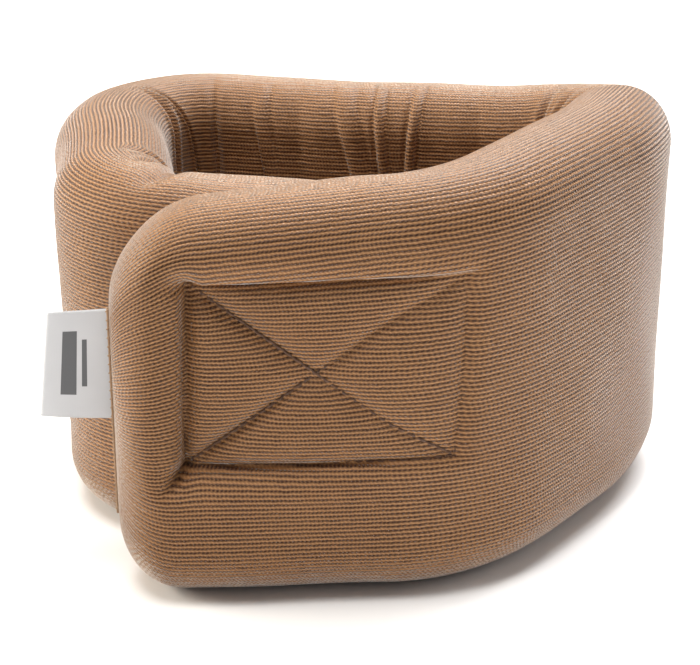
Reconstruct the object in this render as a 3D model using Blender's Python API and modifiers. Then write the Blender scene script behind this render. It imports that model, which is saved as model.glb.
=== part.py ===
"""Soft foam cervical collar: a foam strip in a ribbed knit sleeve, rolled into a ring and closed
with a hook patch and a loop patch. Units are metres, +Z is up, and the collar stands on z = 0.

The strip is modelled straight and then bent along its plan. Along the strip, u runs from the tip
of the outer end (the closure flap) round the ring to the tip of the inner end. Across it, inward
is the distance from the middle of the strip towards the inside of the ring."""

import math

import bmesh
import bpy
from mathutils import Vector

MM = 0.001

# Strip section
THICKNESS = 27.0 * MM
HEIGHT = 90.0 * MM
EDGE_RADIUS = 10.0 * MM
EDGE_SEGMENTS = 3
COVER_THICKNESS = 1.2 * MM
GAP = 0.3 * MM
STATION_SPACING = 6.5 * MM

# Height of the strip's top edge in mm at even shares of the strip's length, and how far it is eased
TOP_PROFILE = (83.0, 88.5, 94.0, 97.0, 90.8, 90.2, 91.5, 90.0, 83.5, 80.0)
TOP_EASE = 10.0 * MM

# Plan of the strip's middle line: length in mm and turn to the left in degrees of each arc
PLAN = (
    ("closure flap", 57.6, 5.2),
    ("front right bend", 28.3, 44.6),
    ("right wall, front", 39.1, 10.2),
    ("right wall, back", 27.2, 16.9),
    ("right back corner", 36.8, 91.6),
    ("back wall", 79.7, 0.0),
    ("left back corner", 41.1, 94.7),
    ("left wall, back", 25.1, 21.0),
    ("left wall, front", 22.6, -7.8),
    ("left front bend", 27.2, 83.0),
    ("inner end", 48.3, 13.0),
)
START_HEADING = math.radians(-0.7)
STRIP_LENGTH = sum(length for _, length, _ in PLAN) * MM

# Flex hinges: distance along the strip of each joint plane
PEEL_U = 84.0 * MM
RIGHT_FLEX_U = 170.6 * MM
LEFT_FLEX_U = 289.2 * MM
INNER_FLEX_U = 371.1 * MM

# Closure patches and their stitching
BOX_LOW_LEFT = (15.0 * MM, 29.3 * MM)
BOX_LOW_RIGHT = (68.4 * MM, 32.0 * MM)
BOX_HIGH_RIGHT = (70.0 * MM, 72.0 * MM)
BOX_HIGH_LEFT = (16.3 * MM, 70.3 * MM)
CROSSING_U = 42.3 * MM
PATCH_MARGIN = 1.5 * MM
PATCH_THICKNESS = 0.9 * MM
LOOP_START_U = 388.5 * MM
LOOP_END_U = 430.5 * MM
LOOP_LOW_Z = 29.0 * MM
LOOP_HIGH_Z = 73.0 * MM
STITCH_RADIUS = 0.35 * MM
LOOP_STITCH_RADIUS = 0.25 * MM
SEAM_RADIUS = 0.5 * MM
SEAM_LOW_Z = 16.0 * MM
SEAM_TOP_MARGIN = 16.0 * MM
POINT_SPACING = 6.0 * MM

# Sewn label
LABEL_REACH = 16.5 * MM
LABEL_THICKNESS = 0.8 * MM
LABEL_LOW_Z = 37.0 * MM
LABEL_HIGH_Z = 61.5 * MM
LABEL_INWARD = 2.0 * MM

COLLECTION = "cervical_collar"


def clear_scene():
    for old in list(bpy.data.objects):
        bpy.data.objects.remove(old, do_unlink=True)
    collection = bpy.data.collections.new(COLLECTION)
    bpy.context.scene.collection.children.link(collection)
    return collection


def material(name, colour, roughness):
    made = bpy.data.materials.new(name)
    made.use_nodes = True
    shader = made.node_tree.nodes["Principled BSDF"]
    shader.inputs["Base Color"].default_value = (*colour, 1.0)
    shader.inputs["Roughness"].default_value = roughness
    shader.inputs["Metallic"].default_value = 0.0
    return made


def plan_arcs():
    """Start of every arc of the plan: distance along, x, y, heading and curvature."""
    arcs = []
    u, x, y, heading = 0.0, 0.0, 0.0, START_HEADING
    for _, length_mm, turn_deg in PLAN:
        length = length_mm * MM
        curvature = math.radians(turn_deg) / length
        arcs.append((u, x, y, heading, curvature))
        x, y, heading = along_arc(x, y, heading, curvature, length)
        u += length
    return arcs


def along_arc(x, y, heading, curvature, distance):
    if curvature == 0.0:
        return x + distance * math.cos(heading), y + distance * math.sin(heading), heading
    end = heading + curvature * distance
    x += (math.sin(end) - math.sin(heading)) / curvature
    y -= (math.cos(end) - math.cos(heading)) / curvature
    return x, y, end


ARCS = plan_arcs()


def middle_line(u):
    """Point and heading of the strip's middle line; the end arcs carry on past the strip's ends."""
    arc = ARCS[0]
    for candidate in ARCS:
        if u >= candidate[0]:
            arc = candidate
    start, x, y, heading, curvature = arc
    return along_arc(x, y, heading, curvature, u - start)


def plan_centre():
    """Centre of the ring's plan box, which becomes the origin."""
    samples = 2000
    xs = []
    ys = []
    for i in range(samples + 1):
        x, y, heading = middle_line(STRIP_LENGTH * i / samples)
        xs.append(x + math.sin(heading) * THICKNESS / 2)
        ys.append(y - math.cos(heading) * THICKNESS / 2)
    proud = (GAP + 2 * STITCH_RADIUS) / 2
    return (min(xs) + max(xs)) / 2, (min(ys) + max(ys)) / 2 - proud


CENTRE_X, CENTRE_Y = plan_centre()


def place(u, inward, z):
    """World position of a point given along, across and up the strip."""
    x, y, heading = middle_line(u)
    x -= math.sin(heading) * inward
    y += math.cos(heading) * inward
    return Vector((x - CENTRE_X, y - CENTRE_Y, z))


def profile_height(u):
    """Top edge as straight runs between the heights of the profile."""
    at = min(max(u / STRIP_LENGTH, 0.0), 1.0) * (len(TOP_PROFILE) - 1)
    i = min(int(at), len(TOP_PROFILE) - 2)
    return (TOP_PROFILE[i] + (TOP_PROFILE[i + 1] - TOP_PROFILE[i]) * (at - i)) * MM


def top_height(u):
    """Height of the strip: tallest on the right, lower at both tips, eased between the runs."""
    steps = (-1.0, -0.5, 0.0, 0.5, 1.0)
    return sum(profile_height(u + step * TOP_EASE) for step in steps) / len(steps)


def bend(mesh_data):
    """Bends a straight block, built with x along, y inward and z up, onto the plan."""
    for vertex in mesh_data.verts:
        u, inward, z = vertex.co
        if z > HEIGHT / 2:
            z += top_height(u) - HEIGHT
        vertex.co = place(u, inward, z)


def cut(mesh_data, u, clear_low, clear_high, fill):
    """Cuts a straight block across at u, and may remove a side and close the cut."""
    geometry = mesh_data.verts[:] + mesh_data.edges[:] + mesh_data.faces[:]
    result = bmesh.ops.bisect_plane(
        mesh_data,
        geom=geometry,
        plane_co=(u, 0.0, 0.0),
        plane_no=(1.0, 0.0, 0.0),
        clear_inner=clear_low,
        clear_outer=clear_high,
    )
    if fill:
        edges = [item for item in result["geom_cut"] if isinstance(item, bmesh.types.BMEdge)]
        bmesh.ops.contextual_create(mesh_data, geom=edges)


def strip_block(u_low, u_high, inset, cut_low, cut_high, fill):
    """Rounded block of the strip between two distances, inset from its outer surface."""
    spare = 2 * EDGE_RADIUS
    low = u_low - spare if cut_low else u_low + inset
    high = u_high + spare if cut_high else u_high - inset
    block = bmesh.new()
    bmesh.ops.create_cube(block, size=1.0)
    bmesh.ops.scale(block, vec=(high - low, THICKNESS - 2 * inset, HEIGHT - 2 * inset), verts=block.verts)
    bmesh.ops.translate(block, vec=((low + high) / 2, 0.0, HEIGHT / 2), verts=block.verts)
    bmesh.ops.bevel(
        block,
        geom=block.edges[:],
        offset=EDGE_RADIUS - inset,
        offset_type="OFFSET",
        segments=EDGE_SEGMENTS,
        profile=0.5,
        affect="EDGES",
    )
    if cut_low:
        cut(block, u_low + GAP / 2, True, False, fill)
    if cut_high:
        cut(block, u_high - GAP / 2, False, True, fill)
    steps = round((u_high - u_low) / STATION_SPACING)
    for i in range(1, steps):
        cut(block, u_low + (u_high - u_low) * i / steps, False, False, False)
    bend(block)
    return block


def add_object(name, mesh_data, look):
    bmesh.ops.recalc_face_normals(mesh_data, faces=mesh_data.faces)
    mesh = bpy.data.meshes.new(name)
    mesh_data.to_mesh(mesh)
    mesh_data.free()
    mesh.materials.append(look)
    mesh.shade_smooth()
    made = bpy.data.objects.new(name, mesh)
    PARTS.objects.link(made)
    return made


def foam_segment(name, u_low, u_high, cut_low, cut_high):
    """Closed block of foam, a gap inside the cover."""
    inset = COVER_THICKNESS + GAP
    block = strip_block(u_low, u_high, inset, cut_low, cut_high, True)
    return add_object(name, block, FOAM)


def cover_segment(name, u_low, u_high, cut_low, cut_high):
    """Knit sleeve, open at its joint planes, grown inwards from the strip's outer surface."""
    skin = strip_block(u_low, u_high, 0.0, cut_low, cut_high, False)
    made = add_object(name, skin, KNIT)
    shell = made.modifiers.new("sleeve", "SOLIDIFY")
    shell.thickness = COVER_THICKNESS
    shell.offset = -1.0
    shell.use_even_offset = True
    shell.use_rim = True
    return made


def patch(name, u_low, u_high, z_low, z_high, inward_low, inward_high, look):
    """Flat patch or tab that follows the strip's bend."""
    block = bmesh.new()
    bmesh.ops.create_cube(block, size=1.0)
    size = (u_high - u_low, inward_high - inward_low, z_high - z_low)
    centre = ((u_low + u_high) / 2, (inward_low + inward_high) / 2, (z_low + z_high) / 2)
    bmesh.ops.scale(block, vec=size, verts=block.verts)
    bmesh.ops.translate(block, vec=centre, verts=block.verts)
    steps = max(2, round((u_high - u_low) / STATION_SPACING))
    for i in range(1, steps):
        cut(block, u_low + (u_high - u_low) * i / steps, False, False, False)
    for vertex in block.verts:
        vertex.co = place(*vertex.co)
    return add_object(name, block, look)


def straight_run(start, end):
    """Points from start to end, both (along, inward, up), without the end point."""
    start = Vector(start)
    end = Vector(end)
    steps = max(1, round((end - start).length / POINT_SPACING))
    return [start.lerp(end, i / steps) for i in range(steps)]


def thread(name, points, radius, closed):
    """Round thread through points given along, across and up the strip."""
    data = bpy.data.curves.new(name, "CURVE")
    data.dimensions = "3D"
    data.bevel_depth = radius
    data.bevel_resolution = 1
    data.use_fill_caps = True
    line = data.splines.new("POLY")
    line.points.add(len(points) - 1)
    for target, source in zip(line.points, points):
        target.co = (*place(*source), 1.0)
    line.use_cyclic_u = closed
    data.materials.append(THREAD)
    made = bpy.data.objects.new(name, data)
    PARTS.objects.link(made)
    return made


def box_stitch():
    """Sewn rectangle round the hook patch, on the flap's outer face."""
    inward = -(THICKNESS / 2 + GAP + STITCH_RADIUS)
    corners = [
        (u, inward, z) for u, z in (BOX_LOW_LEFT, BOX_LOW_RIGHT, BOX_HIGH_RIGHT, BOX_HIGH_LEFT)
    ]
    points = []
    for start, end in zip(corners, corners[1:] + corners[:1]):
        points += straight_run(start, end)
    return thread("hook_patch_box_stitch", points, STITCH_RADIUS, True)


def cross_stitch(name, left_corner, right_corner, over):
    """Diagonal seam inside the box; the second one passes over the first where they cross."""
    flat = -(THICKNESS / 2 + GAP + STITCH_RADIUS)
    hop = 2 * STITCH_RADIUS + GAP if over else 0.0
    low = Vector((left_corner[0], flat, left_corner[1]))
    high = Vector((right_corner[0], flat, right_corner[1]))
    points = straight_run(low.lerp(high, 0.04), low.lerp(high, 0.96)) + [low.lerp(high, 0.96)]
    for point in points:
        nearness = 1.0 - abs(point.x - CROSSING_U) / (2 * POINT_SPACING)
        point.y -= hop * min(1.0, max(0.0, 1.6 * nearness))
    return thread(name, points, STITCH_RADIUS, False)


def loop_stitch():
    """Perimeter seam of the loop patch, lying on the patch."""
    margin = PATCH_MARGIN
    inward = -(THICKNESS / 2 + GAP + PATCH_THICKNESS + GAP + LOOP_STITCH_RADIUS)
    corners = [
        (LOOP_START_U + margin, inward, LOOP_LOW_Z + margin),
        (LOOP_END_U - margin, inward, LOOP_LOW_Z + margin),
        (LOOP_END_U - margin, inward, LOOP_HIGH_Z - margin),
        (LOOP_START_U + margin, inward, LOOP_HIGH_Z - margin),
    ]
    points = []
    for start, end in zip(corners, corners[1:] + corners[:1]):
        points += straight_run(start, end)
    return thread("loop_patch_stitch", points, LOOP_STITCH_RADIUS, True)


def end_seam(name, u, height):
    """Upright seam that closes the sleeve at one end of the strip."""
    start = (u, 0.0, SEAM_LOW_Z)
    end = (u, 0.0, height - SEAM_TOP_MARGIN)
    points = straight_run(start, end) + [Vector(end)]
    return thread(name, points, SEAM_RADIUS, False)


PARTS = clear_scene()
FOAM = material("foam", (0.80, 0.72, 0.52), 0.95)
KNIT = material("knit", (0.50, 0.32, 0.18), 0.90)
THREAD = material("thread", (0.30, 0.18, 0.09), 0.80)
HOOK = material("hook_tape", (0.52, 0.38, 0.25), 0.60)
LOOP = material("loop_tape", (0.55, 0.41, 0.28), 0.95)
LABEL = material("label_satin", (0.62, 0.62, 0.63), 0.55)

foam_segment("flap_foam", 0.0, PEEL_U, False, True)
foam_segment("right_foam", PEEL_U, RIGHT_FLEX_U, True, True)
foam_segment("back_foam", RIGHT_FLEX_U, LEFT_FLEX_U, True, True)
foam_segment("left_foam", LEFT_FLEX_U, INNER_FLEX_U, True, True)
foam_segment("inner_end_foam", INNER_FLEX_U, STRIP_LENGTH, True, False)

cover_segment("flap_cover", 0.0, PEEL_U, False, True)
cover_segment("right_cover", PEEL_U, RIGHT_FLEX_U, True, True)
cover_segment("back_cover", RIGHT_FLEX_U, LEFT_FLEX_U, True, True)
cover_segment("left_cover", LEFT_FLEX_U, INNER_FLEX_U, True, True)
cover_segment("inner_end_cover", INNER_FLEX_U, STRIP_LENGTH, True, False)

patch(
    "hook_patch",
    BOX_LOW_LEFT[0] - PATCH_MARGIN,
    BOX_HIGH_RIGHT[0] + PATCH_MARGIN,
    BOX_LOW_LEFT[1] - PATCH_MARGIN,
    BOX_HIGH_RIGHT[1] + PATCH_MARGIN,
    THICKNESS / 2 + GAP,
    THICKNESS / 2 + GAP + PATCH_THICKNESS,
    HOOK,
)
patch(
    "loop_patch",
    LOOP_START_U,
    LOOP_END_U,
    LOOP_LOW_Z,
    LOOP_HIGH_Z,
    -(THICKNESS / 2 + GAP + PATCH_THICKNESS),
    -(THICKNESS / 2 + GAP),
    LOOP,
)
patch(
    "size_label",
    -LABEL_REACH,
    -(2 * GAP + 2 * SEAM_RADIUS),
    LABEL_LOW_Z,
    LABEL_HIGH_Z,
    LABEL_INWARD - LABEL_THICKNESS / 2,
    LABEL_INWARD + LABEL_THICKNESS / 2,
    LABEL,
)

box_stitch()
cross_stitch("cross_stitch_rising", BOX_LOW_LEFT, BOX_HIGH_RIGHT, False)
cross_stitch("cross_stitch_falling", BOX_HIGH_LEFT, BOX_LOW_RIGHT, True)
loop_stitch()
end_seam("flap_end_seam", -(GAP + SEAM_RADIUS), top_height(0.0))
end_seam("inner_end_seam", STRIP_LENGTH + GAP + SEAM_RADIUS, top_height(STRIP_LENGTH))
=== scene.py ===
"""Looks of the soft foam cervical collar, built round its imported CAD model.

The sleeve, the foam, the patches and the threads are all worked out in the strip's own
coordinates, in metres, and then bent onto the plan of the ring: u runs along the strip from the
tip of the outer end, inward runs across it towards the inside of the ring, and z is up."""

import math

import bmesh
import bpy
import numpy as np
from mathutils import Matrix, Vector


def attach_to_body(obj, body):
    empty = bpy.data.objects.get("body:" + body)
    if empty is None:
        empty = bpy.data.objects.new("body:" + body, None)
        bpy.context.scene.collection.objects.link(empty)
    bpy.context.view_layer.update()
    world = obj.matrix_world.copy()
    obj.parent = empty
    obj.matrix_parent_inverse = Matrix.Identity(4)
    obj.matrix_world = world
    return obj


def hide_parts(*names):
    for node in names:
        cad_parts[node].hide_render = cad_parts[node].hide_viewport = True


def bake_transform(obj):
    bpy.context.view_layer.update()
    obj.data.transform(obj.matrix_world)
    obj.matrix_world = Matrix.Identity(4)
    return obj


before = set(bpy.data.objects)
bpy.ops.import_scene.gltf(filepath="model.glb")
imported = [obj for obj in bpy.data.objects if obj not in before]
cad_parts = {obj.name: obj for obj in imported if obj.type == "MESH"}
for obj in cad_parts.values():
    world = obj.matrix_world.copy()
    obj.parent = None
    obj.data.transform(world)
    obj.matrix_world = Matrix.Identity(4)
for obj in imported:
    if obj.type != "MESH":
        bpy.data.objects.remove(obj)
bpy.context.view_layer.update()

MM = 0.001

# Strip, as in the CAD model
THICKNESS = 27.0 * MM
HALF = THICKNESS / 2
HEIGHT = 90.0 * MM
# Height of the top edge at even shares of the strip's length, and how far it is eased
TOP_PROFILE = np.array([83.0, 88.5, 94.0, 97.0, 90.8, 90.2, 91.5, 90.0, 83.5, 80.0]) * MM
TOP_EASE = 10.0 * MM
# Length in mm and left turn in degrees of each stretch of the plan
PLAN = (
    (57.6, 5.2),
    (28.3, 44.6),
    (39.1, 10.2),
    (27.2, 16.9),
    (36.8, 91.6),
    (79.7, 0.0),
    (41.1, 94.7),
    (25.1, 21.0),
    (22.6, -7.8),
    (27.2, 83.0),
    (48.3, 13.0),
)
START_HEADING = math.radians(-0.7)
STRIP_LENGTH = sum(length for length, _ in PLAN) * MM
CENTRE_X = 0.05266946
CENTRE_Y = 0.0577246
PEEL_START_U = 76 * MM
PEEL_END_U = 92 * MM
RIGHT_FLEX_U = 170.6 * MM
LEFT_FLEX_U = 289.2 * MM
INNER_FLEX_U = 371.1 * MM
# Corners (u, z) of the sewn box
BOX_LOW_LEFT = (15.0 * MM, 29.3 * MM)
BOX_LOW_RIGHT = (68.4 * MM, 32.0 * MM)
BOX_HIGH_RIGHT = (70.0 * MM, 72.0 * MM)
BOX_HIGH_LEFT = (16.3 * MM, 70.3 * MM)
UPRIGHT_FROM_U = 60 * MM
# Opposite corners (u, z) of the two tapes
HOOK_LOW = (13.5 * MM, 27.8 * MM)
HOOK_HIGH = (71.5 * MM, 73.5 * MM)
LOOP_LOW = (388.5 * MM, 29.0 * MM)
LOOP_HIGH = (430.5 * MM, 73.0 * MM)
TAPE_CORNER = 2.0 * MM
TAPE_BACK = HALF + 0.5 * MM
TAPE_FRONT = HALF + 1.2 * MM

# Sleeve
SECTION_RADIUS = 12.5 * MM
SECTION_STEPS = 200
FLAT_STEPS = 20
RIBS = 112
PER_RIB = 6
ROUND = RIBS * PER_RIB
RIB_DEPTH = 0.36 * MM
STITCH = 0.85 * MM
SLEEVE_THICKNESS = 1.2 * MM
FOAM_INSET = 1.5 * MM
TIP_RADIUS = 12.5 * MM
TIP_CORNER = 20.0 * MM
TIP_LOW_CORNER = 15.0 * MM
TIP_STEPS = 26
FLAP_LINING_STEP = 1.6 * MM
LINING_STEP = 6.0 * MM
LINING_TIP_STEPS = 6
MERGE_DISTANCE = 0.02 * MM
FLAT_EDGE = 0.002 * MM

# Foam
FOAM_ROUND = 144
FOAM_STEP = 2.2 * MM
FOAM_TIP_STEPS = 8

# Thread radii and lengths
STITCH_LENGTH = 2.4 * MM
BOX_THREAD = 0.3 * MM
CROSS_THREAD = 0.28 * MM
LOOP_THREAD = 0.2 * MM
SEAM_CORE = 0.4 * MM
SEAM_WRAP = 0.2 * MM
PATH_STEP = 0.3 * MM
THREAD_LIFT = 0.1 * MM


# ---------------------------------------------------------------- strip coordinates


def plan_arcs():
    arcs = []
    u, x, y, heading = 0.0, 0.0, 0.0, START_HEADING
    for length_mm, turn_deg in PLAN:
        length = length_mm * MM
        curvature = math.radians(turn_deg) / length
        arcs.append((u, x, y, heading, curvature))
        x, y, heading = (float(v) for v in along_arc(x, y, heading, curvature, np.array(length)))
        u += length
    return arcs


def along_arc(x, y, heading, curvature, distance):
    if curvature == 0.0:
        x = x + distance * np.cos(heading)
        y = y + distance * np.sin(heading)
        return x, y, heading + 0 * distance
    end = heading + curvature * distance
    x = x + (np.sin(end) - np.sin(heading)) / curvature
    y = y - (np.cos(end) - np.cos(heading)) / curvature
    return x, y, end


ARCS = plan_arcs()


def place(u, inward, z):
    """Points (..., 3) in the row frame from strip coordinates."""
    u, inward, z = np.broadcast_arrays(*(np.asarray(v, float) for v in (u, inward, z)))
    x, y, heading = np.empty_like(u), np.empty_like(u), np.empty_like(u)
    for i, (start, x0, y0, h0, curvature) in enumerate(ARCS):
        low = -np.inf if i == 0 else start
        high = np.inf if i == len(ARCS) - 1 else ARCS[i + 1][0]
        here = (u >= low) & (u < high)
        x[here], y[here], heading[here] = along_arc(x0, y0, h0, curvature, u[here] - start)
    x = x - np.sin(heading) * inward - CENTRE_X
    y = y + np.cos(heading) * inward - CENTRE_Y
    return np.stack([x, y, z], axis=-1)


def smooth(t):
    t = np.clip(t, 0.0, 1.0)
    return t * t * (3.0 - 2.0 * t)


def lerp(a, b, t):
    return a + (b - a) * t


def hill(x, centre, width):
    return np.exp(-(((x - centre) / width) ** 2))


def quarter_round(t):
    """Height of a quarter circle, from 0 at t = 0 to 1 at t = 1."""
    return np.sqrt(np.clip(1.0 - (1.0 - t) ** 2, 0.0, 1.0))


def section(count):
    """Inward distance, height and outward direction at even steps round the full section.
    It starts under the middle, goes up the outer face and comes down the inner face."""
    r = SECTION_RADIUS
    flat = HALF - r
    high = HEIGHT - r
    quarter = np.linspace(0.0, math.pi / 2, SECTION_STEPS)
    sin, cos = np.sin(quarter), np.cos(quarter)
    up = np.linspace(r, high, SECTION_STEPS)
    ones, zeros = np.ones(SECTION_STEPS), np.zeros(SECTION_STEPS)
    short_ones, short_zeros = np.ones(FLAT_STEPS), np.zeros(FLAT_STEPS)
    across = np.linspace(-flat, flat, FLAT_STEPS)
    half_across = np.linspace(0.0, flat, FLAT_STEPS)
    parts = [
        (-half_across, short_zeros, short_zeros, -short_ones),
        (-flat - r * sin, r - r * cos, -sin, -cos),
        (-HALF * ones, up, -ones, zeros),
        (-flat - r * cos, high + r * sin, -cos, sin),
        (across, HEIGHT * short_ones, short_zeros, short_ones),
        (flat + r * sin, high + r * cos, sin, cos),
        (HALF * ones, up[::-1], ones, zeros),
        (flat + r * cos, r - r * sin, cos, -sin),
        (half_across[::-1], short_zeros, short_zeros, -short_ones),
    ]
    rows = [np.concatenate([part[k] for part in parts]) for k in range(4)]
    along = np.concatenate([[0.0], np.cumsum(np.hypot(np.diff(rows[0]), np.diff(rows[1])))])
    at = np.arange(count) / count * along[-1]
    return [np.interp(at, along, row) for row in rows]


# ---------------------------------------------------------------- shape of the sewn strip

BOX_DEPTH_LEFT = 8.4 * MM
BOX_DEPTH_RIGHT = 2.2 * MM
PILLOW_DEPTH_LEFT = 3.0 * MM
PILLOW_DEPTH_RIGHT = 0.2 * MM
BOX_RIGHT_BOW = 0.5 * MM
BOX_WIDTH = 53.5 * MM
BOX_TALL = 40.5 * MM
FOLD_WIDTH_LEFT = 8.0 * MM
FOLD_WIDTH_RIGHT = 3.4 * MM
EDGE_RISE = 2.2 * MM
DIAGONAL_RISE = 2.6 * MM
LINING_REACH = 1.3 * MM
CREASE_LENGTH = 6.0 * MM
CREASE_WIDTH = 1.0 * MM
CREASE_DEPTH = 2.6 * MM
PULL_REACH = 1.7 * MM
PULL_LEFT = 1.3 * MM
PULL_BELOW = 0.7 * MM
PULL_ABOVE = 1.6 * MM


def box_left(z):
    up = (z - BOX_LOW_LEFT[1]) / (BOX_HIGH_LEFT[1] - BOX_LOW_LEFT[1])
    return lerp(BOX_LOW_LEFT[0], BOX_HIGH_LEFT[0], np.clip(up, 0.0, 1.0))


def box_right(z):
    """The sewn right edge leans and bows a little."""
    up = np.clip((z - BOX_LOW_RIGHT[1]) / (BOX_HIGH_RIGHT[1] - BOX_LOW_RIGHT[1]), 0.0, 1.0)
    bow = 4.0 * up * (1.0 - up) * BOX_RIGHT_BOW
    return lerp(BOX_LOW_RIGHT[0], BOX_HIGH_RIGHT[0], up) + bow


def box_low(u):
    t = (u - BOX_LOW_LEFT[0]) / (BOX_LOW_RIGHT[0] - BOX_LOW_LEFT[0])
    return lerp(BOX_LOW_LEFT[1], BOX_LOW_RIGHT[1], np.clip(t, 0.0, 1.0))


def box_high(u):
    t = (u - BOX_HIGH_LEFT[0]) / (BOX_HIGH_RIGHT[0] - BOX_HIGH_LEFT[0])
    return lerp(BOX_HIGH_LEFT[1], BOX_HIGH_RIGHT[1], np.clip(t, 0.0, 1.0))


def box_shares(u, z):
    """How far across (0 left, 1 right) and up (0 bottom, 1 top) the sewn box a point is."""
    left, low = box_left(z), box_low(u)
    return (u - left) / (box_right(z) - left), (z - low) / (box_high(u) - low)


def edge_depth(across):
    return lerp(BOX_DEPTH_LEFT, BOX_DEPTH_RIGHT, np.clip(across, 0, 1) ** 0.75)


def seam_distances(u, z):
    """Distance to the box's outline, positive inside, and to its two diagonals."""
    left = u - box_left(z)
    right = box_right(z) - u
    low = z - box_low(u)
    high = box_high(u) - z
    inside = np.minimum(np.minimum(left, right), np.minimum(low, high))
    out = np.hypot(
        np.maximum(np.maximum(-left, -right), 0.0),
        np.maximum(np.maximum(-low, -high), 0.0),
    )
    across, up = box_shares(u, z)
    size = math.hypot(1.0 / BOX_WIDTH, 1.0 / BOX_TALL)
    rising = np.abs(across - up) / size
    falling = np.abs(across - (1.0 - up)) / size
    return inside, out, rising, falling


def recess(u, z):
    """How far the outer face lies behind the plain strip, round and inside the sewn box."""
    inside, out, rising, falling = seam_distances(u, z)
    across, _ = box_shares(u, z)
    t = np.clip(across, 0.0, 1.0)
    depth = edge_depth(t)
    near = np.clip(out / lerp(FOLD_WIDTH_LEFT, FOLD_WIDTH_RIGHT, t), 0.0, 1.0)
    outer = depth * (1.0 - quarter_round(near))
    rise = (
        (1.0 - np.exp(-np.maximum(inside, 0) / EDGE_RISE))
        * (1.0 - np.exp(-rising / DIAGONAL_RISE))
        * (1.0 - np.exp(-falling / DIAGONAL_RISE))
    )
    pillow = lerp(PILLOW_DEPTH_LEFT, PILLOW_DEPTH_RIGHT, t)
    inner = depth - (depth - pillow) * rise
    return np.where(inside > 0, inner, outer) + corner_crease(u, z)


def hidden_recess(u, z):
    """The deepest recess within reach, so that the lining and the foam stay behind the fabric."""
    made = recess(u, z)
    slant = 0.7
    straight_ways = ((-1, 0), (1, 0), (0, -1), (0, 1))
    slanting_ways = ((-slant, -slant), (slant, slant), (-slant, slant), (slant, -slant))
    for du, dz in straight_ways + slanting_ways:
        made = np.maximum(made, recess(u + du * LINING_REACH, z + dz * LINING_REACH))
    return made


def corner_crease(u, z):
    """Short crease that runs down and left from the box's lower left corner."""
    du = BOX_LOW_LEFT[0] - u
    dz = BOX_LOW_LEFT[1] - z
    along = (du * 0.62 + dz * 0.78) / CREASE_LENGTH
    aside = (du * 0.78 - dz * 0.62) / CREASE_WIDTH
    return CREASE_DEPTH * np.exp(-aside**2) * smooth(1.0 - np.abs(along - 0.3) / 0.9)


def box_pull(u, z):
    """Sideways shift (du, dz) that lets the fabric round the box hang over its sewn edge."""
    _, out, _, _ = seam_distances(u, z)
    across, up = box_shares(u, z)
    t = np.clip(across, 0.0, 1.0)
    amount = (out / PULL_REACH) * np.exp(1.0 - out / PULL_REACH) * (1.0 - 0.75 * t)
    left = smooth(-across * 30.0) * smooth(up * 12.0) * smooth((1 - up) * 12.0)
    above = smooth((up - 1.0) * 25.0) * smooth(across * 12.0)
    below = smooth(-up * 25.0) * smooth(across * 12.0)
    du = PULL_LEFT * amount * left
    dz = amount * (PULL_BELOW * below - PULL_ABOVE * above)
    return du, dz


def tip_distance(u):
    return np.minimum(u, STRIP_LENGTH - u)


def top_height(u):
    """Height of the strip: tallest on the right and lower at both tips."""
    at = np.linspace(0.0, STRIP_LENGTH, len(TOP_PROFILE))
    steps = np.linspace(-1.0, 1.0, 9) * TOP_EASE
    return sum(np.interp(u + step, at, TOP_PROFILE) for step in steps) / len(steps)


SOFT_WAVES = (
    # height, length along, waves round the section, start
    (0.30 * MM, 17.0 * MM, 2.0, 0.0),
    (0.22 * MM, 9.5 * MM, -3.0, 1.0),
    (0.12 * MM, 5.1 * MM, 5.0, 0.5),
)


def softness(u, share):
    """Slow unevenness of the foam, a few tenths of a millimetre."""
    a = 2 * math.pi * share
    return sum(
        high * np.sin(u / long + turns * a + start) for high, long, turns, start in SOFT_WAVES
    )


PUCKERS = (
    # distance along at the top, half width, depth and lean of the creases in the inner face
    (161.0 * MM, 1.5 * MM, 2.0 * MM, -0.02),
    (171.0 * MM, 1.3 * MM, 1.6 * MM, 0.03),
    (180.0 * MM, 1.4 * MM, 1.8 * MM, 0.02),
    (201.0 * MM, 3.0 * MM, 0.5 * MM, 0.03),
    (250.0 * MM, 2.4 * MM, 0.6 * MM, 0.06),
    (275.0 * MM, 1.8 * MM, 1.0 * MM, 0.05),
    (304.0 * MM, 1.5 * MM, 1.8 * MM, 0.03),
    (362.0 * MM, 1.4 * MM, 1.6 * MM, 0.02),
    (371.0 * MM, 1.3 * MM, 1.8 * MM, -0.03),
    (380.0 * MM, 1.4 * MM, 1.5 * MM, 0.03),
)


PLEATS = (
    # distance along at the top, lean, half width and height of the folds that stand proud
    (227.9 * MM, 0.11, 1.35 * MM, 1.3 * MM),
    (217.5 * MM, -0.07, 1.35 * MM, 1.4 * MM),
    (237.6 * MM, 0.26, 2.6 * MM, 0.8 * MM),
    (260.4 * MM, 0.18, 2.0 * MM, 0.7 * MM),
)
PLEAT_LEAN_DOWN = 25.0 * MM
PLEAT_LOW_Z = 24.0 * MM
CORNER_RIDGE_U = 283.5 * MM
CORNER_RIDGE_SWEEP = 18.5 * MM
CORNER_RIDGE_EASE = 14.0 * MM
TUCK_U = 380.5 * MM
TUCK_WIDTH = 2.0 * MM
TUCK_DEPTH = 1.9 * MM


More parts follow.
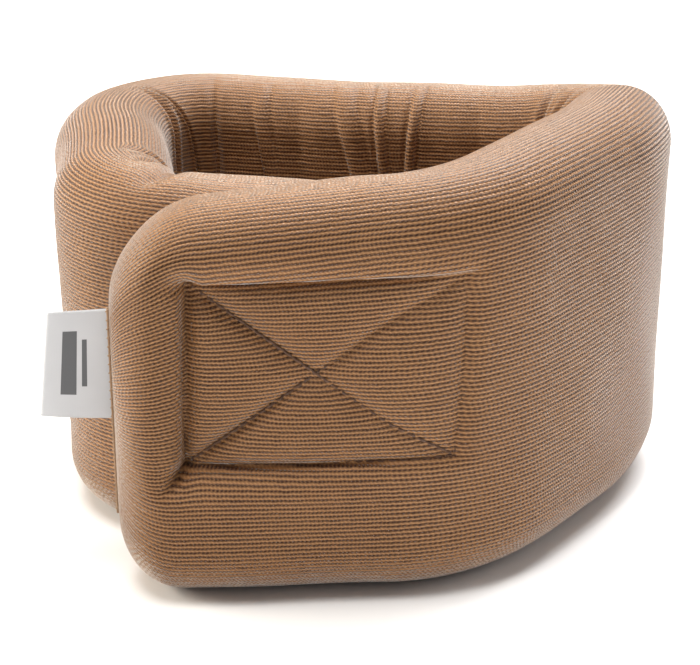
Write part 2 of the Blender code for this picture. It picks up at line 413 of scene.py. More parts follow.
def pleats(u, z):
    """Folds of spare knit on the back of the inner face, and the fine ridge in its left corner."""
    made = 0.0
    for at, lean, half, height in PLEATS:
        d = np.abs(u - at - lean * np.maximum(z - HEIGHT, -PLEAT_LEAN_DOWN)) / half
        tube = np.sqrt(np.clip(1.0 - d**2, 0.0, 1.0))
        made = made - height * tube + 0.55 * height * hill(d, 1.3, 0.4)
    made = made * smooth((z - PLEAT_LOW_Z) / (14 * MM))
    line = CORNER_RIDGE_U + CORNER_RIDGE_SWEEP * np.exp((z - HEIGHT) / CORNER_RIDGE_EASE)
    d = (u - line) / MM
    return made - 0.9 * MM * hill(d, 0.0, 0.55) + 1.6 * MM * hill(d, -1.5, 1.0)


def tuck(u, inward):
    """Pinch across the top of the left layer, where the strip turns behind the flap."""
    d = (u - TUCK_U - 0.25 * inward) / TUCK_WIDTH
    return TUCK_DEPTH * np.exp(-np.abs(d) ** 1.4) * smooth((inward + 11 * MM) / (8 * MM))


def inner_creases(u, z):
    """Upright folds where the inner face is squeezed; positive is towards the foam."""
    made = pleats(u, z)
    for at, half, depth, lean in PUCKERS:
        line = at + lean * (z - HEIGHT) + 0.5 * MM * np.sin(z / (9.0 * MM) + at / (3.0 * MM))
        d = (u - line) / half
        made = made + depth * np.exp(-np.abs(d) ** 1.3)
        made = made - 0.35 * depth * hill(np.abs(d), 2.2, 1.0)
    return made


def tip_scale(e):
    """Share of its thickness that the strip has at distance e from a closed tip."""
    return quarter_round(np.clip(e / TIP_RADIUS, 0.0, 1.0))


def tip_drop(e, corner):
    """How far the rounded corner of a tip lies inside the strip's upper or lower edge."""
    return corner * (1.0 - quarter_round(np.clip(e / corner, 0.0, 1.0)))


def rib_height(share):
    """Two raised strands on each rib; the wide gap between two ribs is at whole numbers."""
    phase = (share * RIBS) % 1.0
    strand = 1.0 - np.abs(2 * ((2 * phase) % 1.0) - 1.0) ** 2.2
    return strand + 0.35 * hill(phase, 0.5, 0.1)


TAPER_LOW_Z = 25.0 * MM
LAP_PRESS = 1.5 * MM
FACE_EASE = 9.0 * MM
BOX_REACH_U = 100.0 * MM


def strip_surface(u, share, ring, inset, ribbed):
    """Strip coordinates (u, inward, z) of the surface at every distance u and section point."""
    inward0, z0, dir_in, dir_z = ring
    u = u[:, None]
    e = np.maximum(tip_distance(u) - inset, 0.0)
    scale = tip_scale(e)
    drop_high = tip_drop(e, TIP_CORNER)
    drop_low = tip_drop(e, TIP_LOW_CORNER)
    inward = inward0 - dir_in * inset
    z = z0 - dir_z * inset
    z = z * (1.0 - (drop_high + drop_low) / HEIGHT) + drop_low
    upper_share = np.clip((z0 - TAPER_LOW_Z) / (HEIGHT - TAPER_LOW_Z), 0.0, 1.0)
    z = z + (top_height(u) - HEIGHT) * upper_share
    inward = inward * scale
    fade = smooth(e / (8 * MM))
    plump = softness(u, share) * fade
    inward = inward + dir_in * plump
    z = z + dir_z * plump * 0.6
    outer = smooth(-inward0 / (5 * MM))
    inner = smooth(inward0 / (5 * MM))
    # The two layers of the overlap press together above and below the patches.
    beyond = np.maximum(smooth((z - 76 * MM) / (4 * MM)), smooth((24 * MM - z) / (5 * MM)))
    flap_lap = smooth((62 * MM - u) / (12 * MM)) * fade
    inner_lap = smooth((u - 384 * MM) / (10 * MM)) * fade
    inward = inward + LAP_PRESS * beyond * flap_lap * inner
    inward = inward - LAP_PRESS * beyond * inner_lap * outer
    # Sewn box
    wide_u = u + 0.0 * z
    du, dz = box_pull(wide_u, z)
    face = smooth(-inward0 / FACE_EASE)
    hollow = recess(wide_u, z) if inset == 0.0 else hidden_recess(wide_u, z)
    inward = inward + face * hollow * (u < BOX_REACH_U)
    wide_u = wide_u + du * face
    z = z + dz * face
    # Folds of the inner face, and the tuck on top of the left layer
    folds = inner_creases(wide_u, z) * inner * smooth((z0 - 4 * MM) / (10 * MM)) * fade
    inward = inward - folds
    z = z - tuck(wide_u, inward) * smooth((z0 - 78 * MM) / (8 * MM))
    if ribbed:
        amount = RIB_DEPTH * rib_height(share) * lerp(0.35, 1.0, scale) * rib_fade(wide_u, z, face)
        inward = inward + dir_in * amount
        z = z + dir_z * amount
    return wide_u, inward, z


def rib_fade(u, z, face):
    """Ribs lie flatter in the stretched band just above the box."""
    across, _ = box_shares(u, z)
    above = hill(z, box_high(u) + 2.5 * MM, 3.5 * MM)
    above = above * smooth(across * 6) * smooth((1.15 - across) * 6)
    return 1.0 - 0.55 * face * above


def spacing(low, high, base, dense):
    """Distances along from low to high: even steps, with finer steps near the dense places."""
    fine = np.linspace(low, high, 4000)
    rate = np.ones_like(fine) / base
    for at, half, factor in dense:
        rate = rate + (factor - 1.0) / base * hill(fine, at, half)
    total = np.concatenate([[0.0], np.cumsum((rate[1:] + rate[:-1]) / 2 * np.diff(fine))])
    count = int(math.ceil(total[-1]))
    return np.interp(np.linspace(0, total[-1], count + 1), total, fine)


def along_samples(low, high, base, dense, inset, tip_steps):
    """Distances along a piece, with closely spaced rows round a closed tip."""
    start, end = low, high
    before, after = [], []
    turn = (1.0 - np.cos(np.linspace(0, math.pi / 2, tip_steps + 1))) * TIP_CORNER
    if low <= 0.0:
        start = inset + TIP_CORNER
        before = inset + turn[:-1]
    if high >= STRIP_LENGTH:
        end = STRIP_LENGTH - inset - TIP_CORNER
        after = STRIP_LENGTH - inset - turn[:-1][::-1]
    return np.concatenate([before, spacing(start, end, base, dense), after])


# ---------------------------------------------------------------- meshes


def new_object(name, points, faces, uvs=None):
    """Mesh object from points, an array or list of faces, and a UV for every face corner."""
    if isinstance(faces, list):
        counts = np.array([len(face) for face in faces])
        flat = np.concatenate([np.asarray(face) for face in faces])
    else:
        counts = np.full(len(faces), faces.shape[1])
        flat = faces.ravel()
    starts = np.concatenate([[0], np.cumsum(counts)[:-1]])
    mesh = bpy.data.meshes.new(name)
    mesh.vertices.add(len(points))
    mesh.vertices.foreach_set("co", np.ascontiguousarray(points, np.float32).ravel())
    mesh.loops.add(len(flat))
    mesh.loops.foreach_set("vertex_index", flat.astype(np.int32))
    mesh.polygons.add(len(counts))
    mesh.polygons.foreach_set("loop_start", starts.astype(np.int32))
    mesh.update(calc_edges=True)
    mesh.validate()
    if uvs is not None:
        layer = mesh.uv_layers.new(name="knit")
        layer.uv.foreach_set("vector", np.ascontiguousarray(uvs, np.float32).ravel())
    mesh.shade_smooth()
    made = bpy.data.objects.new(name, mesh)
    bpy.context.scene.collection.objects.link(made)
    return made


def ring_quads(rows, count, first, flip):
    """Quads of a tube of rings, and the row and column of each of their corners."""
    i = np.repeat(np.arange(rows - 1), count)
    j = np.tile(np.arange(count), rows - 1)
    row = np.stack([i, i, i + 1, i + 1], 1)
    column = np.stack([j, j + 1, j + 1, j], 1)
    if flip:
        row, column = row[:, ::-1], column[:, ::-1]
    return first + row * count + column % count, (row, column)


def grid_corners(rows, columns):
    """The four corners of each cell in a grid of points, counted along its columns first."""
    i, j = np.meshgrid(np.arange(rows - 1), np.arange(columns - 1), indexing="ij")
    a = (i * columns + j).ravel()
    return a, a + 1, a + columns + 1, a + columns


def knit_uv(u, corner):
    """The stitch and the rib at each face corner."""
    return np.stack([u[corner[0]] / STITCH, corner[1] / PER_RIB], -1)


def sleeve(name, low, high, base, dense):
    """Closed piece of ribbed sleeve: ribbed outside, smooth lining inside, rims at its cuts."""
    ring = section(ROUND)
    share = np.arange(ROUND) / ROUND
    u_out = along_samples(low, high, base, dense, 0.0, TIP_STEPS)
    points_out = place(*strip_surface(u_out, share, ring, 0.0, True))
    lining_base = FLAP_LINING_STEP if low == 0.0 else LINING_STEP
    u_in = along_samples(low, high, lining_base, (), SLEEVE_THICKNESS, LINING_TIP_STEPS)
    points_in = place(*strip_surface(u_in, share, ring, SLEEVE_THICKNESS, False))
    points = np.concatenate([points_out.reshape(-1, 3), points_in.reshape(-1, 3)])
    first_in = len(u_out) * ROUND
    quads_out, corner_out = ring_quads(len(u_out), ROUND, 0, False)
    quads_in, corner_in = ring_quads(len(u_in), ROUND, first_in, True)
    faces = [quads_out, quads_in]
    uvs = [knit_uv(u_out, corner_out), knit_uv(u_in, corner_in)]
    j = np.arange(ROUND)
    k = (j + 1) % ROUND
    for cut, row_out, row_in, flip in (
        (low > 0.0, 0, 0, False),
        (high < STRIP_LENGTH, len(u_out) - 1, len(u_in) - 1, True),
    ):
        if not cut:
            continue
        a, b = row_out * ROUND, first_in + row_in * ROUND
        rim = np.stack([a + j, b + j, b + k, a + k], 1)
        column = np.stack([j, j, j + 1, j + 1], 1)
        if flip:
            rim, column = rim[:, ::-1], column[:, ::-1]
        faces.append(rim)
        uvs.append(knit_uv(u_out, (np.full(column.shape, row_out), column)))
    made = new_object(name, points, np.concatenate(faces), np.concatenate(uvs).reshape(-1, 2))
    sharpen_rims(made, (low > 0.0) * 0, (high < STRIP_LENGTH) * (len(u_out) - 1))
    close_tip(made, low, high)
    return made


def sharpen_rims(obj, *rows):
    """Keeps the rims at the cuts from bending the shading of the outer face."""
    mesh = obj.data
    ends = np.zeros(len(mesh.edges) * 2, np.int32)
    mesh.edges.foreach_get("vertices", ends)
    ring = ends.reshape(-1, 2) // ROUND
    sharp = (ring[:, 0] == ring[:, 1]) & np.isin(ring[:, 0], rows)
    mark = mesh.attributes.new("sharp_edge", "BOOLEAN", "EDGE")
    mark.data.foreach_set("value", sharp)


def close_tip(obj, low, high):
    """Merges the flattened ring of a closed tip into the upright seam line."""
    if low > 0.0 and high < STRIP_LENGTH:
        return
    data = bmesh.new()
    data.from_mesh(obj.data)
    bmesh.ops.remove_doubles(data, verts=data.verts, dist=MERGE_DISTANCE)
    bmesh.ops.dissolve_degenerate(data, edges=data.edges, dist=FLAT_EDGE)
    data.to_mesh(obj.data)
    data.free()
    obj.data.update()


def foam(name, low, high):
    """Closed block of foam inside the sleeve."""
    count = FOAM_ROUND
    ring = section(count)
    share = np.arange(count) / count
    dense = ((BOX_LOW_LEFT[0], 4 * MM, 3.0),)
    u = along_samples(low, high, FOAM_STEP, dense, FOAM_INSET, FOAM_TIP_STEPS)
    points = place(*strip_surface(u, share, ring, FOAM_INSET, False)).reshape(-1, 3)
    quads, _ = ring_quads(len(u), count, 0, False)
    faces = [tuple(q) for q in quads.tolist()]
    if low > 0.0:
        faces.append(tuple(range(count))[::-1])
    if high < STRIP_LENGTH:
        last = (len(u) - 1) * count
        faces.append(tuple(range(last, last + count)))
    made = new_object(name, points, faces)
    close_tip(made, low, high)
    return made


def tube(path, radius, closed=False, sides=7):
    """Round thread along points in the row frame."""
    path = np.asarray(path, float)
    if closed:
        ahead, behind = np.roll(path, -1, 0), np.roll(path, 1, 0)
    else:
        ahead = np.concatenate([path[1:], path[-1:]])
        behind = np.concatenate([path[:1], path[:-1]])
    way = ahead - behind
    way /= np.linalg.norm(way, axis=1)[:, None]
    side = np.cross(way, [0.3, -0.2, 0.93])
    weak = np.linalg.norm(side, axis=1) < 0.3
    side[weak] = np.cross(way[weak], [0.9, 0.3, 0.1])
    side /= np.linalg.norm(side, axis=1)[:, None]
    up = np.cross(side, way)
    angle = np.arange(sides) / sides * 2 * math.pi
    rings = (
        path[:, None]
        + radius * np.cos(angle)[None, :, None] * side[:, None]
        + radius * np.sin(angle)[None, :, None] * up[:, None]
    )
    quads, _ = ring_quads(len(path), sides, 0, True)
    faces = [tuple(q) for q in quads.tolist()]
    last = (len(path) - 1) * sides
    if closed:
        for j in range(sides):
            k = (j + 1) % sides
            faces.append((last + k, k, j, last + j))
    else:
        faces += [tuple(range(sides)), tuple(range(last, last + sides))[::-1]]
    return rings.reshape(-1, 3), faces


def join(name, parts):
    """One object from several (points, faces)."""
    points, faces, at = [], [], 0
    for p, f in parts:
        points.append(p)
        faces += [tuple(i + at for i in face) for face in f]
        at += len(p)
    return new_object(name, np.concatenate(points), faces)


# ---------------------------------------------------------------- materials


class Look:
    """A node material built from short expressions."""

    def __init__(self, name):
        self.material = bpy.data.materials.new(name)
        self.material.use_nodes = True
        self.tree = self.material.node_tree
        self.shader = self.tree.nodes["Principled BSDF"]

    def node(self, kind, **inputs):
        made = self.tree.nodes.new(kind)
        for key, value in inputs.items():
            self.feed(made.inputs[key.replace("_", " ")], value)
        return made

    def feed(self, socket, value):
        if isinstance(value, bpy.types.NodeSocket):
            self.tree.links.new(value, socket)
        else:
            socket.default_value = value

    def math(self, operation, *values):
        made = self.tree.nodes.new("ShaderNodeMath")
        made.operation = operation
        for socket, value in zip(made.inputs, values):
            self.feed(socket, value)
        return made.outputs[0]

    def mix(self, factor, a, b):
        made = self.tree.nodes.new("ShaderNodeMix")
        made.data_type = "RGBA"
        self.feed(made.inputs["Factor"], factor)
        self.feed(made.inputs[6], (*a, 1.0) if isinstance(a, tuple) else a)
        self.feed(made.inputs[7], (*b, 1.0) if isinstance(b, tuple) else b)
        return made.outputs[2]

    def noise(self, scale, detail, vector, roughness=0.5):
        made = self.node("ShaderNodeTexNoise", Scale=scale, Detail=detail, Roughness=roughness)
        self.feed(made.inputs["Vector"], vector)
        return made.outputs["Fac"]

    def place(self):
        return self.tree.nodes.new("ShaderNodeTexCoord").outputs["Object"]

    def bump(self, height, strength, distance):
        made = self.node("ShaderNodeBump", Strength=strength, Distance=distance, Height=height)
        self.feed(self.shader.inputs["Normal"], made.outputs[0])

    def set(self, **values):
        for key, value in values.items():
            self.feed(self.shader.inputs[key.replace("_", " ")], value)
        return self.material


def ridge(look, phase, centre, half):
    """1 at the centre of a strand, falling to 0 at half its width."""
    away = look.math("DIVIDE", look.math("SUBTRACT", phase, centre), half)
    square = look.math("MULTIPLY", away, away)
    return look.math("MAXIMUM", look.math("SUBTRACT", 1.0, square), 0.0)


def wave(look, value, strength, base):
    turned = look.math("SINE", look.math("MULTIPLY", value, 2 * math.pi))
    return look.math("MULTIPLY_ADD", turned, strength, base)


def knit_material():
    """Ribbed knit: two strands on each rib, with rows of small holes between the strands; the
    colour carries painted shade in the gaps and holes.
    """
    look = Look("ribbed_knit")
    uv = look.tree.nodes.new("ShaderNodeUVMap")
    uv.uv_map = "knit"
    split = look.node("ShaderNodeSeparateXYZ", Vector=uv.outputs[0])
    along, across = split.outputs[0], split.outputs[1]
    place_at = look.place()
    wobble = look.noise(700.0, 2.0, place_at)
    across = look.math("MULTIPLY_ADD", look.math("SUBTRACT", wobble, 0.5), 0.2, across)
    row = look.math("MULTIPLY", across, 2.0)
    phase = look.math("FRACT", row)
    chance = look.tree.nodes.new("ShaderNodeTexWhiteNoise")
    chance.noise_dimensions = "1D"
    look.feed(chance.inputs["W"], look.math("FLOOR", row))
    along = look.math("ADD", along, chance.outputs["Value"])
    twist = look.math("MULTIPLY_ADD", look.math("SUBTRACT", phase, 0.5), 1.1, along)
    strand = look.math("MULTIPLY", ridge(look, phase, 0.5, 0.4), wave(look, twist, 0.13, 0.87))
    edge = look.math("MINIMUM", phase, look.math("SUBTRACT", 1.0, phase))
    gap = ridge(look, edge, 0.0, 0.24)
    stretch = look.noise(150.0, 2.0, place_at)
    closed = look.math("MULTIPLY_ADD", look.math("SUBTRACT", stretch, 0.5), 0.6, 0.22)
    rungs = look.math("MULTIPLY", gap, look.math("ADD", closed, wave(look, along, 0.3, 0.0)))
    height = look.math("ADD", strand, look.math("MAXIMUM", rungs, 0.0))
    fibre = look.noise(4600.0, 2.0, place_at)
    fuzzy = look.math("MULTIPLY_ADD", look.math("SUBTRACT", fibre, 0.5), 0.22, height)
    slow = look.noise(38.0, 3.0, place_at)
    light = look.mix(slow, YARN_LIGHT_A, YARN_LIGHT_B)
    # Painted shade: the colour darkens where the knit is low, in the gaps and holes between the
    # strands.
    lit = look.math("MULTIPLY_ADD", fuzzy, 1.35, -0.28)
    lit = look.math("MINIMUM", look.math("MAXIMUM", lit, 0.0), 1.0)
    colour = look.mix(lit, YARN_GAP_SHADE, light)
    look.bump(fuzzy, 0.9, 0.0004)
    return look.set(
        Base_Color=colour,
        Roughness=0.5,
        Specular_IOR_Level=0.35,
        Sheen_Weight=0.85,
        Sheen_Roughness=0.25,
        Sheen_Tint=(1.0, 0.97, 0.94, 1.0),
    )


def thread_material():
    look = Look("sewing_thread")
    strands = look.noise(4200.0, 2.0, look.place())
    # Dark brown thread; on the box and its diagonals the dark tone is also painted shade of the
    # sewn creases.
    colour = look.mix(strands, (0.055, 0.024, 0.012), (0.16, 0.075, 0.035))
    look.bump(strands, 0.4, 0.0002)
    return look.set(Base_Color=colour, Roughness=0.7, Sheen_Weight=0.2, Sheen_Roughness=0.5)


def seam_material():
    look = Look("seam_thread")
    strands = look.noise(3600.0, 2.0, look.place())
    colour = look.mix(strands, (0.20, 0.11, 0.055), (0.42, 0.27, 0.15))
    look.bump(strands, 0.4, 0.0002)
    return look.set(Base_Color=colour, Roughness=0.8, Sheen_Weight=0.2, Sheen_Roughness=0.5)


def foam_material():
    look = Look("open_cell_foam")
    at = look.place()
    cells = look.node("ShaderNodeTexVoronoi", Vector=at, Scale=900.0).outputs["Distance"]
    slow = look.noise(60.0, 3.0, at)
    solid = look.mix(slow, (0.80, 0.70, 0.46), (0.84, 0.76, 0.55))
    colour = look.mix(cells, (0.42, 0.33, 0.17), solid)
    look.bump(cells, 0.5, 0.0005)
    return look.set(Base_Color=colour, Roughness=0.95, Specular_IOR_Level=0.2)


def hook_material():
    look = Look("hook_tape")
    at = look.place()
    hooks = look.node("ShaderNodeTexVoronoi", Vector=at, Scale=1100.0).outputs["Distance"]
    colour = look.mix(hooks, (0.62, 0.42, 0.25), (0.22, 0.13, 0.07))
    look.bump(look.math("SUBTRACT", 1.0, hooks), 0.7, 0.0006)
    return look.set(Base_Color=colour, Roughness=0.5, Specular_IOR_Level=0.5)


def loop_material():
    look = Look("loop_tape")
    at = look.place()
    pile = look.noise(1500.0, 4.0, at, 0.7)
    colour = look.mix(pile, (0.22, 0.12, 0.06), (0.62, 0.43, 0.27))
    look.bump(pile, 0.8, 0.0008)
    return look.set(Base_Color=colour, Roughness=0.95, Sheen_Weight=0.4, Sheen_Roughness=0.4)


def label_material():
    """Grey satin with a fine weave and two plain printed bars."""
    look = Look("label_satin")
    uv = look.tree.nodes.new("ShaderNodeUVMap")
    uv.uv_map = "knit"
    split = look.node("ShaderNodeSeparateXYZ", Vector=uv.outputs[0])
    across, up = split.outputs[0], split.outputs[1]
    weave = wave(look, look.math("MULTIPLY", across, 90.0), 0.5, 0.5)
    weft = wave(look, look.math("MULTIPLY", up, 70.0), 0.5, 0.5)
    slow = look.noise(120.0, 2.0, look.place())
    ground = look.mix(slow, (0.50, 0.50, 0.515), (0.56, 0.56, 0.575))
    thick = bar(look, across, up, 0.30, 0.055, 0.52, 0.30)
    thin = bar(look, across, up, 0.19, 0.018, 0.52, 0.22)
    ink = look.math("MULTIPLY", look.math("MAXIMUM", thick, thin), 0.9)
    colour = look.mix(ink, ground, (0.035, 0.035, 0.04))
    look.bump(look.math("MULTIPLY", weave, weft), 0.12, 0.0001)
    return look.set(
        Base_Color=colour,
        Roughness=0.42,
        Specular_IOR_Level=0.45,
        Sheen_Weight=0.15,
        Sheen_Roughness=0.4,
    )


def bar(look, across, up, centre, half, middle, reach):
    """1 inside a small upright bar printed on the front layer of the label."""
    off_centre = look.math("ABSOLUTE", look.math("SUBTRACT", across, centre))
    wide = look.math("LESS_THAN", off_centre, half)
    off_middle = look.math("ABSOLUTE", look.math("SUBTRACT", up, middle))
    tall = look.math("LESS_THAN", off_middle, reach)
    return look.math("MULTIPLY", wide, tall)


YARN_LIGHT_A = (0.415, 0.198, 0.076)
YARN_LIGHT_B = (0.47, 0.240, 0.100)
# Colour of the painted shade in the gaps and holes of the knit
YARN_GAP_SHADE = (0.068, 0.024, 0.008)

KNIT = knit_material()
THREAD = thread_material()
SEAM = seam_material()
FOAM = foam_material()
HOOK = hook_material()
LOOP = loop_material()
LABEL = label_material()


def dress(obj, material):
    obj.data.materials.clear()
    obj.data.materials.append(material)
    return obj


# ---------------------------------------------------------------- sleeve and foam

# Where the rows stand closer: the distance, the width of the place and how much closer
FLAP_DENSE = ((15.8 * MM, 3.5 * MM, 2.6), (69.2 * MM, 3.0 * MM, 1.6))
CREASE_DENSE = tuple((at, 2.5 * MM, 1.6) for at, _, _, _ in PUCKERS)
PLEAT_DENSE = tuple((at - 12 * MM * lean, 4 * MM, 2.4) for at, lean, _, _ in PLEATS)
CORNER_DENSE = ((290 * MM, 8 * MM, 2.2), (380.5 * MM, 4 * MM, 1.6))
DENSE = FLAP_DENSE + CREASE_DENSE + PLEAT_DENSE + CORNER_DENSE
DENSE_MARGIN = 5 * MM
FLAP_STEP = 0.78 * MM
SLEEVE_STEP = 0.95 * MM
SPLITS = (0.0, 74.0 * MM, 124.0 * MM, 229.0 * MM, 330.0 * MM, STRIP_LENGTH)


def point(u):
    return tuple(float(v) for v in place(u, 0.0, HEIGHT / 2))


# How far a bend reaches to each side of its hinge line; the pieces that span a bend are only baked
# in place, not bent
CORNER_REACH = 20 * MM
INNER_REACH = 15 * MM
BENDS = (
    None,
    ("closure_flap", "right_side", PEEL_START_U, PEEL_END_U),
    ("right_side", "back", RIGHT_FLEX_U - CORNER_REACH, RIGHT_FLEX_U + CORNER_REACH),
    ("back", "left_side", LEFT_FLEX_U - CORNER_REACH, LEFT_FLEX_U + CORNER_REACH),
    ("left_side", "inner_end", INNER_FLEX_U - INNER_REACH, INNER_FLEX_U + INNER_REACH),
)
NAMES = ("flap", "right_front", "right_corner", "left_corner", "inner_end")
STANDS_FOR = ("flap", None, "right", "back", ("left", "inner_end"))


def attach(obj, bend):
    if bend is None:
        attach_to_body(obj, "closure_flap")
    else:
        a, b, start, end = bend
        point(start)
        point(end)
        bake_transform(obj)


for number, name in enumerate(NAMES):
    low, high = SPLITS[number], SPLITS[number + 1]
    base = FLAP_STEP if number == 0 else SLEEVE_STEP
    dense = tuple(d for d in DENSE if low - DENSE_MARGIN < d[0] < high + DENSE_MARGIN)
    cover = dress(sleeve(name + "_sleeve", low, high, base, dense), KNIT)
    core = dress(foam(name + "_foam_core", low, high), FOAM)
    attach(cover, BENDS[number])
    attach(core, BENDS[number])
    stood = STANDS_FOR[number]
    for each in (stood,) if isinstance(stood, str) else stood or ():
        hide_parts(each + "_cover")
        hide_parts(each + "_foam")


# ---------------------------------------------------------------- sewing


def stitched(u, inward, z, length, lift):
    """Thread points that rise over the fabric and dive into it once a stitch."""
    u, inward, z = (np.asarray(v, float) for v in (u, inward, z))
    flat = place(u, inward, z)
    steps = np.linalg.norm(np.diff(flat, axis=0), axis=1)
    along = np.concatenate([[0.0], np.cumsum(steps)])
    count = max(2, round(along[-1] / length))
    wave_at = np.cos(along / along[-1] * count * 2 * math.pi)
    shaped = np.sign(wave_at) * np.abs(wave_at) ** 0.6
    return place(u, inward - lift * shaped, z)


def box_path(corners):
    """Closely spaced u and z round a closed outline."""
    us, zs = [], []
    for (u0, z0), (u1, z1) in zip(corners, corners[1:] + corners[:1]):
        count = max(4, round(math.hypot(u1 - u0, z1 - z0) / PATH_STEP))
        t = np.arange(count) / count
        us.append(lerp(u0, u1, t))
        zs.append(lerp(z0, z1, t))
    return np.concatenate(us), np.concatenate(zs)


def outer_face(u, z):
    """Inward distance of the ribbed outer face, round and inside the sewn box."""
    return -(HALF + RIB_DEPTH * 0.5) + recess(u, z) * smooth(HALF / FACE_EASE)


def thread(name, parts, material, body, node):
    """A piece of one or more tubes that stands for a seam's node."""
    made = dress(join(name, parts), material)
    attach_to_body(made, body)
    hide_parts(node)


def box_thread():
    u, z = box_path([BOX_LOW_LEFT, BOX_LOW_RIGHT, BOX_HIGH_RIGHT, BOX_HIGH_LEFT])
    upright = (z > box_low(u) + MM) & (z < box_high(u) - MM) & (u > UPRIGHT_FROM_U)
    u = np.where(upright, box_right(z), u)
    points = stitched(u, outer_face(u, z) + THREAD_LIFT, z, STITCH_LENGTH, 0.3 * MM)
    tubes = [tube(points, BOX_THREAD, True)]
    thread("box_sewing", tubes, THREAD, "closure_flap", "hook_patch_box_stitch")


def diagonal(name, start, end, over, node):
    """Seam across the box; the one that lies over the other is raised a little."""
    t = np.linspace(0.03, 0.985, 180)
    u = lerp(start[0], end[0], t)
    z = lerp(start[1], end[1], t)
    points = stitched(u, outer_face(u, z) + THREAD_LIFT, z, STITCH_LENGTH, 0.25 * MM)
    points = points + (place(u, -over, z) - place(u, 0.0, z))
    thread(name, [tube(points, CROSS_THREAD)], THREAD, "closure_flap", node)


def end_seam(name, u, height, body, node):
    """Upright overcast seam at a closed tip: a core thread with slanting wraps round it."""
    z = np.linspace(TIP_LOW_CORNER + 0.5 * MM, height - TIP_CORNER - 0.5 * MM, 200)
    core = place(u + 0 * z, 0 * z, z)
    turns = 24
    angle = np.linspace(0, turns * 2 * math.pi, 200 * 5)
    wrap_z = np.linspace(z[0], z[-1], len(angle))
    wrap = place(u + 0.42 * MM * np.cos(angle), 0.75 * MM * np.sin(angle), wrap_z)
    thread(name, [tube(core, SEAM_CORE), tube(wrap, SEAM_WRAP, sides=5)], SEAM, body, node)


def loop_thread():
    inset = 1.6 * MM
    low_u, high_u = LOOP_LOW[0] + inset, LOOP_HIGH[0] - inset
    low_z, high_z = LOOP_LOW[1] + inset, LOOP_HIGH[1] - inset
    u, z = box_path([(low_u, low_z), (high_u, low_z), (high_u, high_z), (low_u, high_z)])
    points = stitched(u, 0 * u - (HALF + 1.25 * MM), z, STITCH_LENGTH, 0.15 * MM)
    tubes = [tube(points, LOOP_THREAD, True)]
    thread("loop_tape_sewing", tubes, THREAD, "inner_end", "loop_patch_stitch")


# The dark box and cross threads also carry painted shade of the creases along their seams.
box_thread()
diagonal("rising_sewing", BOX_LOW_LEFT, BOX_HIGH_RIGHT, 0.0, "cross_stitch_rising")
diagonal("falling_sewing", BOX_HIGH_LEFT, BOX_LOW_RIGHT, 0.25 * MM, "cross_stitch_falling")
end_seam("flap_tip_sewing", -0.35 * MM, TOP_PROFILE[0], "closure_flap", "flap_end_seam")
inner_tip_u = STRIP_LENGTH + 0.35 * MM
end_seam("inner_tip_sewing", inner_tip_u, TOP_PROFILE[-1], "inner_end", "inner_end_seam")

# ---------------------------------------------------------------- hook and loop tapes


def round_off(at, centre, half, excess, pull):
    """Moves the points of a corner's square onto its quarter circle, along one axis."""
    rounded = centre + np.sign(at - centre) * (half - TAPE_CORNER + excess * TAPE_CORNER * pull)
    return np.where(excess > 0, rounded, at)


def tape(name, low, high, back, front, material, body, node, rough):
    """Thin tape with rounded corners and a slightly uneven pile on its open face."""
    gu, gz = np.meshgrid(
        np.linspace(low[0], high[0], 90), np.linspace(low[1], high[1], 70), indexing="ij"
    )
    middle_u, middle_z = (low[0] + high[0]) / 2, (low[1] + high[1]) / 2
    half_u, half_z = (high[0] - low[0]) / 2, (high[1] - low[1]) / 2
    excess_u = np.maximum(np.abs(gu - middle_u) - (half_u - TAPE_CORNER), 0) / TAPE_CORNER
    excess_z = np.maximum(np.abs(gz - middle_z) - (half_z - TAPE_CORNER), 0) / TAPE_CORNER
    in_corner = (excess_u > 0) & (excess_z > 0)
    larger = np.where(in_corner, np.maximum(excess_u, excess_z), 1.0)
    pull = np.where(in_corner, larger / np.hypot(excess_u, excess_z + ~in_corner), 1.0)
    gu = round_off(gu, middle_u, half_u, excess_u, pull)
    gz = round_off(gz, middle_z, half_z, excess_z, pull)
    fine = np.sin(gu / (0.42 * MM)) * np.sin(gz / (0.37 * MM))
    bumps = rough * (fine + np.sin(gu / (0.9 * MM) + gz / (0.7 * MM)))
    side = math.copysign(1.0, front)
    open_face = place(gu, front + side * (bumps - rough), gz).reshape(-1, 3)
    back_face = place(gu, back + 0 * gu, gz).reshape(-1, 3)
    n, m = gu.shape
    quad = np.stack(grid_corners(n, m), 1)
    edge = np.concatenate([
        np.arange(m),
        np.arange(1, n) * m + m - 1,
        (n - 1) * m + np.arange(m - 2, -1, -1),
        np.arange(n - 2, 0, -1) * m,
    ])
    after = np.roll(edge, -1)
    size = n * m
    rim = np.stack([edge, edge + size, after + size, after], 1)
    if side > 0:
        quad, rim = quad[:, ::-1], rim[:, ::-1]
    faces = np.concatenate([quad, quad[:, ::-1] + size, rim])
    made = dress(new_object(name, np.concatenate([open_face, back_face]), faces), material)
    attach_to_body(made, body)
    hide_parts(node)


tape(
    "hook_tape_patch", HOOK_LOW, HOOK_HIGH, TAPE_BACK, TAPE_FRONT,
    HOOK, "closure_flap", "hook_patch", 0.07 * MM,
)
tape(
    "loop_tape_patch", LOOP_LOW, LOOP_HIGH, -TAPE_BACK, -TAPE_FRONT,
    LOOP, "inner_end", "loop_patch", 0.1 * MM,
)
loop_thread()

# ---------------------------------------------------------------- label

LABEL_LOW = 37.0 * MM
LABEL_HIGH = 61.5 * MM


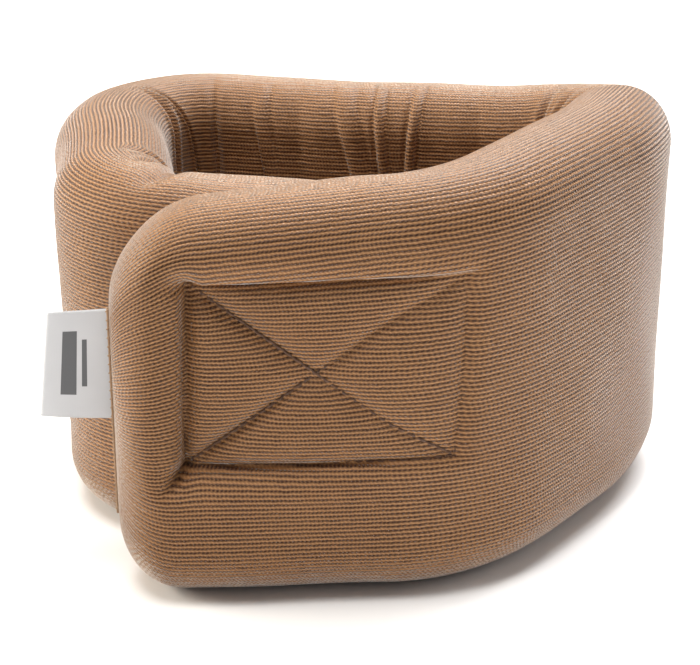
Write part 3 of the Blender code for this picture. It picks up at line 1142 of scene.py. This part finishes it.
def label():
    """Folded satin tab: out from the seam, round the fold and back."""
    rows, columns = 40, 60
    t = np.linspace(0.0, 1.0, columns)
    up = np.linspace(0.0, 1.0, rows)
    tt, uu = np.meshgrid(t, up, indexing="ij")
    reach = lerp(16.6 * MM, 13.6 * MM, uu)
    fold = 1.0 - np.abs(2 * tt - 1.0)
    out = np.minimum(fold * 1.02, 1.0)
    u = -0.4 * MM - (reach - 0.4 * MM) * (1.0 - (1.0 - out) ** 1.03)
    gap = 0.32 * MM * np.sqrt(np.clip(1.0 - fold**6, 0.0, 1.0)) * np.sign(tt - 0.5)
    curl = 1.3 * MM * out**2 * (0.4 + 0.6 * (1 - uu)) - 0.5 * MM * out
    inward = 2.0 * MM + gap + curl
    z = lerp(LABEL_LOW, LABEL_HIGH, uu) + (0.9 * MM * (uu - 0.5)) * out * -1.0 - 0.5 * MM * out
    points = place(u, inward, z).reshape(-1, 3)
    i, j = np.meshgrid(np.arange(columns - 1), np.arange(rows - 1), indexing="ij")
    a = (i * rows + j).ravel()
    quad = np.stack([a, a + rows, a + rows + 1, a + 1], 1)
    uv_at = np.stack([tt.ravel(), uu.ravel()], 1)
    made = new_object("size_label_tab", points, quad, uv_at[quad].reshape(-1, 2))
    shell = made.modifiers.new("satin", "SOLIDIFY")
    shell.thickness = 0.2 * MM
    shell.offset = 0.0
    bpy.context.view_layer.objects.active = made
    with bpy.context.temp_override(object=made, active_object=made):
        bpy.ops.object.modifier_apply(modifier="satin")
    dress(made, LABEL)
    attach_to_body(made, "label_tab")
    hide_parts("size_label")


label()

# ---------------------------------------------------------------- camera, floor and light

camera_data = bpy.data.cameras.new("camera")
camera_data.lens = 81.57
camera_data.sensor_width = 36.0
camera = bpy.data.objects.new("camera", camera_data)
camera.location = (-0.00245, -0.37286, 0.16417)
camera.rotation_euler = (math.radians(71.21), 0.0, 0.0)
bpy.context.scene.collection.objects.link(camera)
bpy.context.scene.camera = camera

floor_look = Look("pale_floor")
floor_tone = floor_look.noise(3.0, 2.0, floor_look.place())
floor_look.set(
    Base_Color=floor_look.mix(floor_tone, (0.93, 0.93, 0.93), (0.96, 0.96, 0.96)),
    Roughness=0.9,
    Specular_IOR_Level=0.1,
)
bpy.ops.mesh.primitive_plane_add(size=12.0, location=(0, 0, -0.0006))
floor = bpy.context.object
floor.name = "floor"
floor.data.materials.append(floor_look.material)

world = bpy.data.worlds.new("studio")
world.use_nodes = True
world.node_tree.nodes["Background"].inputs["Color"].default_value = (1.0, 1.0, 1.0, 1.0)
world.node_tree.nodes["Background"].inputs["Strength"].default_value = 0.25
bpy.context.scene.world = world
bpy.context.scene.view_settings.view_transform = "Standard"


def area_light(name, location, target, size, power, colour=(1.0, 1.0, 1.0)):
    data = bpy.data.lights.new(name, "AREA")
    data.shape = "SQUARE"
    data.size = size
    data.energy = power
    data.color = colour
    made = bpy.data.objects.new(name, data)
    made.location = location
    way = Vector(target) - Vector(location)
    made.rotation_euler = way.to_track_quat("-Z", "Y").to_euler()
    bpy.context.scene.collection.objects.link(made)


area_light("back_window", (0.35, 0.66, 1.15), (0.0, 0.0, 0.05), 1.0, 33.0)
area_light("top_front", (-0.2, -0.24, 1.05), (0.0, 0.0, 0.05), 0.4, 7.6, (1.0, 0.98, 0.95))
area_light("left_window", (-1.0, 0.1, 0.45), (-0.06, 0.0, 0.05), 0.5, 12.0, (1.0, 0.94, 0.82))
area_light("right_window", (1.1, 0.2, 0.4), (0.06, 0.0, 0.05), 0.6, 2.6)
